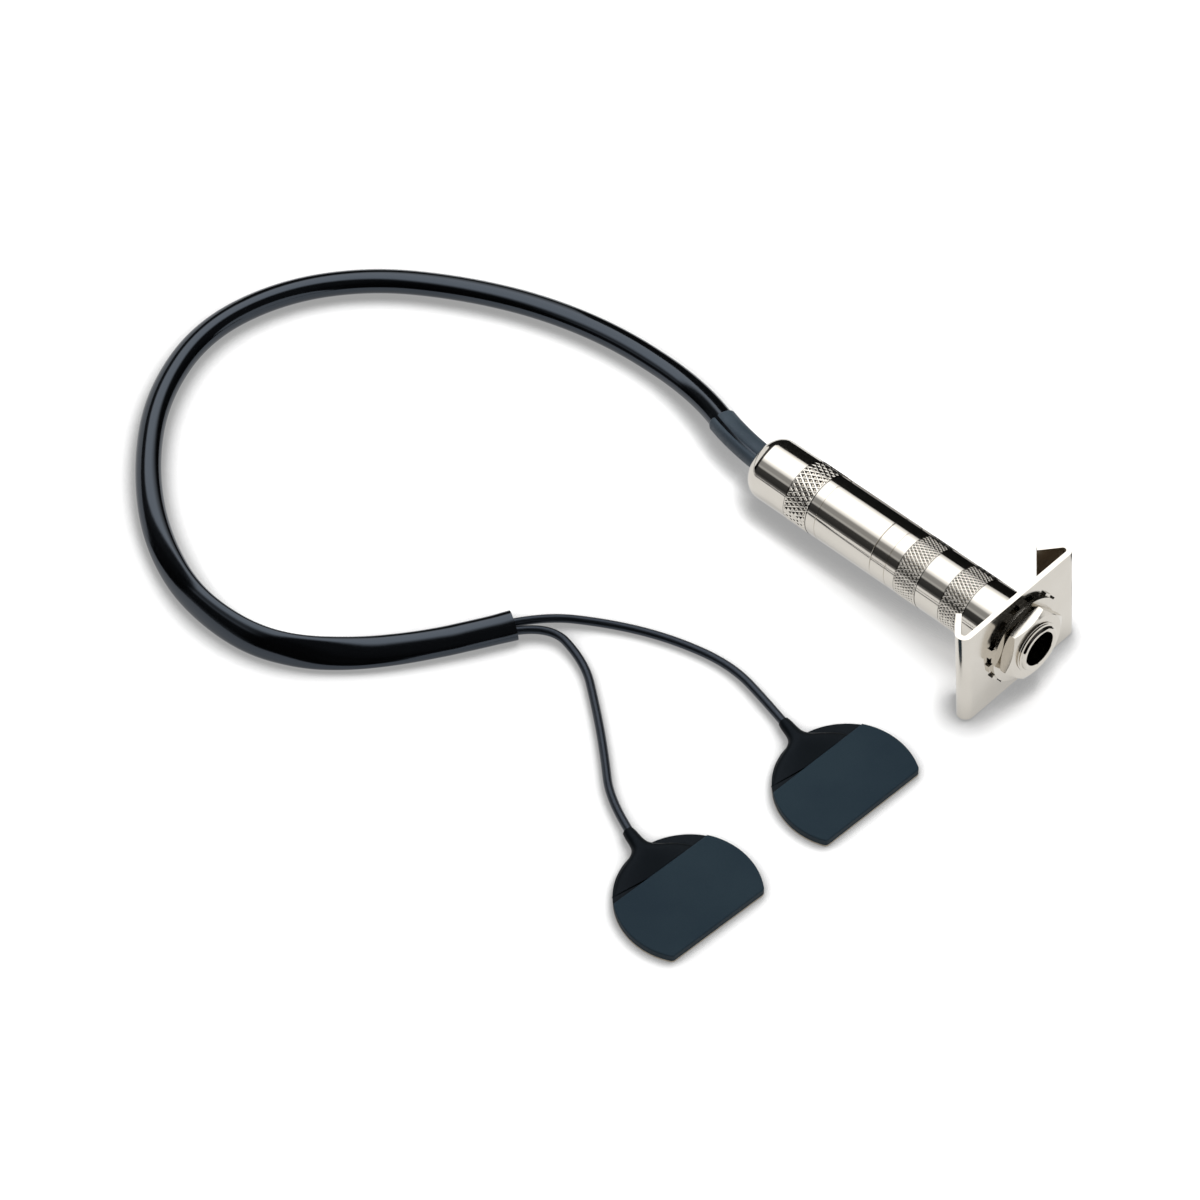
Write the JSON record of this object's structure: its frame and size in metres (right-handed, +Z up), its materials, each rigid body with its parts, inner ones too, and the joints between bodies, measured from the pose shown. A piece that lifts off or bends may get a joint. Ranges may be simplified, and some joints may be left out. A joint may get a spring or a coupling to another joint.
{
  "type": "piezo pickup",
  "caption": "Piezo contact pickup: flat D-shaped sensing pads on thin leads, a flat sleeved cable and an in-line barrel jack with a folded clip bracket.",
  "frame": {"origin": "on the surface that the part lies on, under the middle of the box round the jack and the two pads", "axes": "+Z up; +X level, towards the jack's mouth, whose axis rises 5.0 degrees from +X; +Y to the left of it"},
  "size_m": [0.1613, 0.1058, 0.0212],
  "materials": {
    "nickel": "polished nickel plate",
    "contact_metal": "bare spring metal",
    "copper": "bare copper",
    "insulator": "moulded insulator",
    "relief": "shrunk tubing",
    "sleeve": "soft glossy tubing",
    "lead": "satin jacket",
    "cover": "fine matt skin",
    "boot": "moulded boot",
    "base": "thin contact layer",
    "brass_disc": "sheet",
    "ceramic": "silvered ceramic"
  },
  "bodies": {
    "root": {"front_barrel": "nickel", "rear_handle": "nickel", "threaded_bushing": "nickel", "contact_insulator": "insulator", "tip_spring": "contact_metal", "ground_lug": "contact_metal", "mounting_bracket": "nickel", "lock_washer": "nickel", "flat_washer": "nickel", "hex_nut": "nickel", "signal_wire": "copper", "ground_wire": "copper", "strain_relief": "relief", "cable_sleeve": "sleeve", "lead_right": "lead", "lead_left": "lead", "base_right": "base", "brass_disc_right": "brass_disc", "ceramic_disc_right": "ceramic", "cover_right": "cover", "boot_right": "boot", "base_left": "base", "brass_disc_left": "brass_disc", "ceramic_disc_left": "ceramic", "cover_left": "cover", "boot_left": "boot"}
  },
  "joints": []
}
